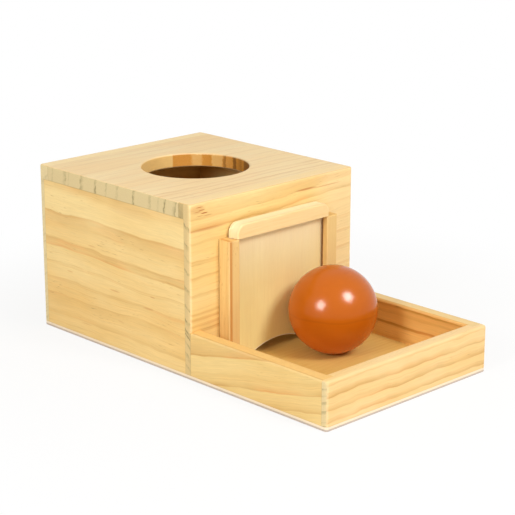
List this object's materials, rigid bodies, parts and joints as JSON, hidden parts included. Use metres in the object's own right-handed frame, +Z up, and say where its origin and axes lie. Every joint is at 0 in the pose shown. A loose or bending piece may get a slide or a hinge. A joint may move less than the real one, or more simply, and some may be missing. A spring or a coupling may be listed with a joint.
{
  "type": "object permanence box",
  "caption": "Wooden toy box with a round drop hole in its top, a ramp inside, a lift-up sliding door and a low tray where the ball comes out.",
  "frame": {"origin": "middle of the underside of the base, which rests on the table", "axes": "+Z up, +Y along the toy from the tray to the back of the box, +X to the right as seen from the tray"},
  "size_m": [0.152, 0.28, 0.118],
  "materials": {
    "pine": "satin",
    "plywood": "satin",
    "rail_pine": "satin",
    "inner_pine": "matte",
    "door_plywood": "satin",
    "grip_wood": "satin",
    "ball_paint": "gloss",
    "dowel_beech": "matte",
    "screw_steel": "zinc plated"
  },
  "bodies": {
    "box": {"base_plate": "plywood", "tray_floor": "plywood", "ramp_board": "plywood", "front_board": "pine", "back_board": "pine", "left_side_board": "pine", "right_side_board": "pine", "top_board": "pine", "tray_left_wall": "pine", "tray_right_wall": "pine", "tray_front_wall": "pine", "left_rail": "rail_pine", "right_rail": "rail_pine", "ramp_rear_bearer": "inner_pine", "ramp_middle_bearer": "inner_pine", "ramp_left_guide": "inner_pine", "ramp_right_guide": "inner_pine", "tray_dowels": "dowel_beech", "base_screws": "screw_steel", "rail_screws": "screw_steel"},
    "door": {"door_panel": "door_plywood", "door_grip": "grip_wood", "grip_screws": "screw_steel"},
    "ball": {"ball": "ball_paint"}
  },
  "joints": [
    {"name": "door_slide", "type": "slide", "parent": "box", "child": "door", "axis": [0, 0, 1], "range_m": [0, 0.088]},
    {"name": "ball_lift", "type": "slide", "parent": "box", "child": "ball", "axis": [0, -0.2588, 0.9659], "range_m": [0, 0.12]}
  ]
}
